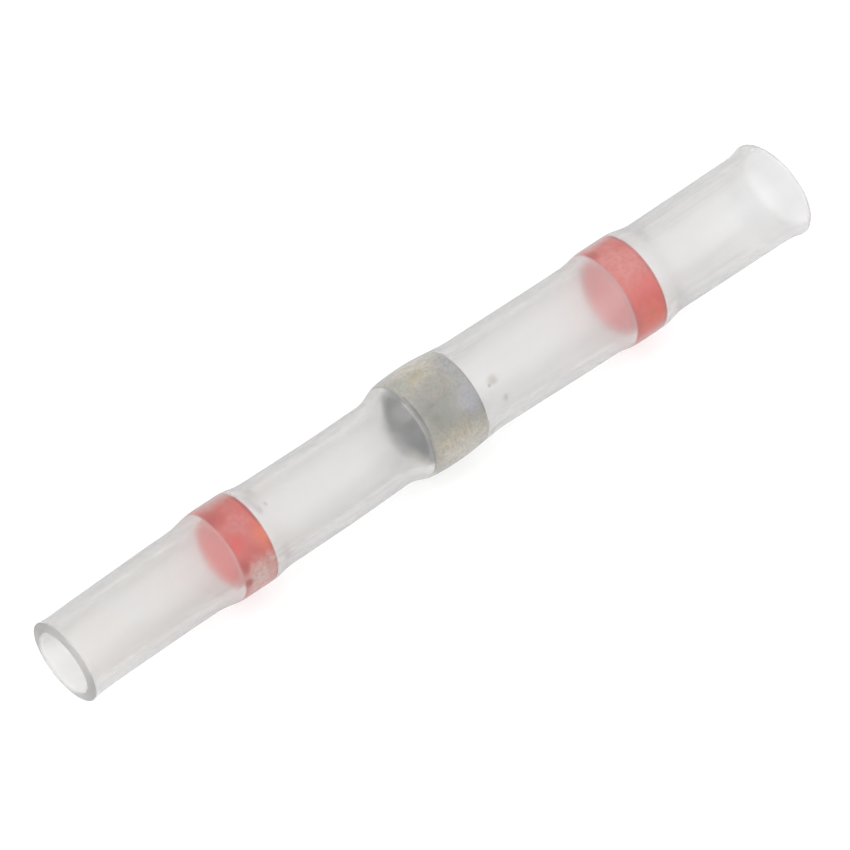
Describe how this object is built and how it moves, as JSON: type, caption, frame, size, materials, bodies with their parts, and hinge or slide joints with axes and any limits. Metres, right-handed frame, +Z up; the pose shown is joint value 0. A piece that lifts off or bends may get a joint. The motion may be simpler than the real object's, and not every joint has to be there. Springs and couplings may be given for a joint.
{
  "type": "solder seal wire connector",
  "caption": "Milky heat-shrink sleeve gripping a fluxed solder ring in the middle and a red seal ring on each side, for splicing wires pushed in from both ends.",
  "frame": {"origin": "on the surface that the sleeve lies on, under the middle of its length", "axes": "+X along the sleeve, from its slim near end to its wider far end; +Z up, away from the surface it lies on"},
  "size_m": [0.04, 0.0048, 0.0048],
  "materials": {
    "milky_tubing": "milky, satin, see-through heat-shrink tubing",
    "red_sealant": "waxy red meltable sealant",
    "fluxed_solder": "dull grey solder, stained with yellowish flux"
  },
  "bodies": {
    "root": {"heat_shrink_sleeve": "milky_tubing", "near_seal_ring": "red_sealant", "far_seal_ring": "red_sealant", "solder_ring": "fluxed_solder"}
  },
  "joints": []
}
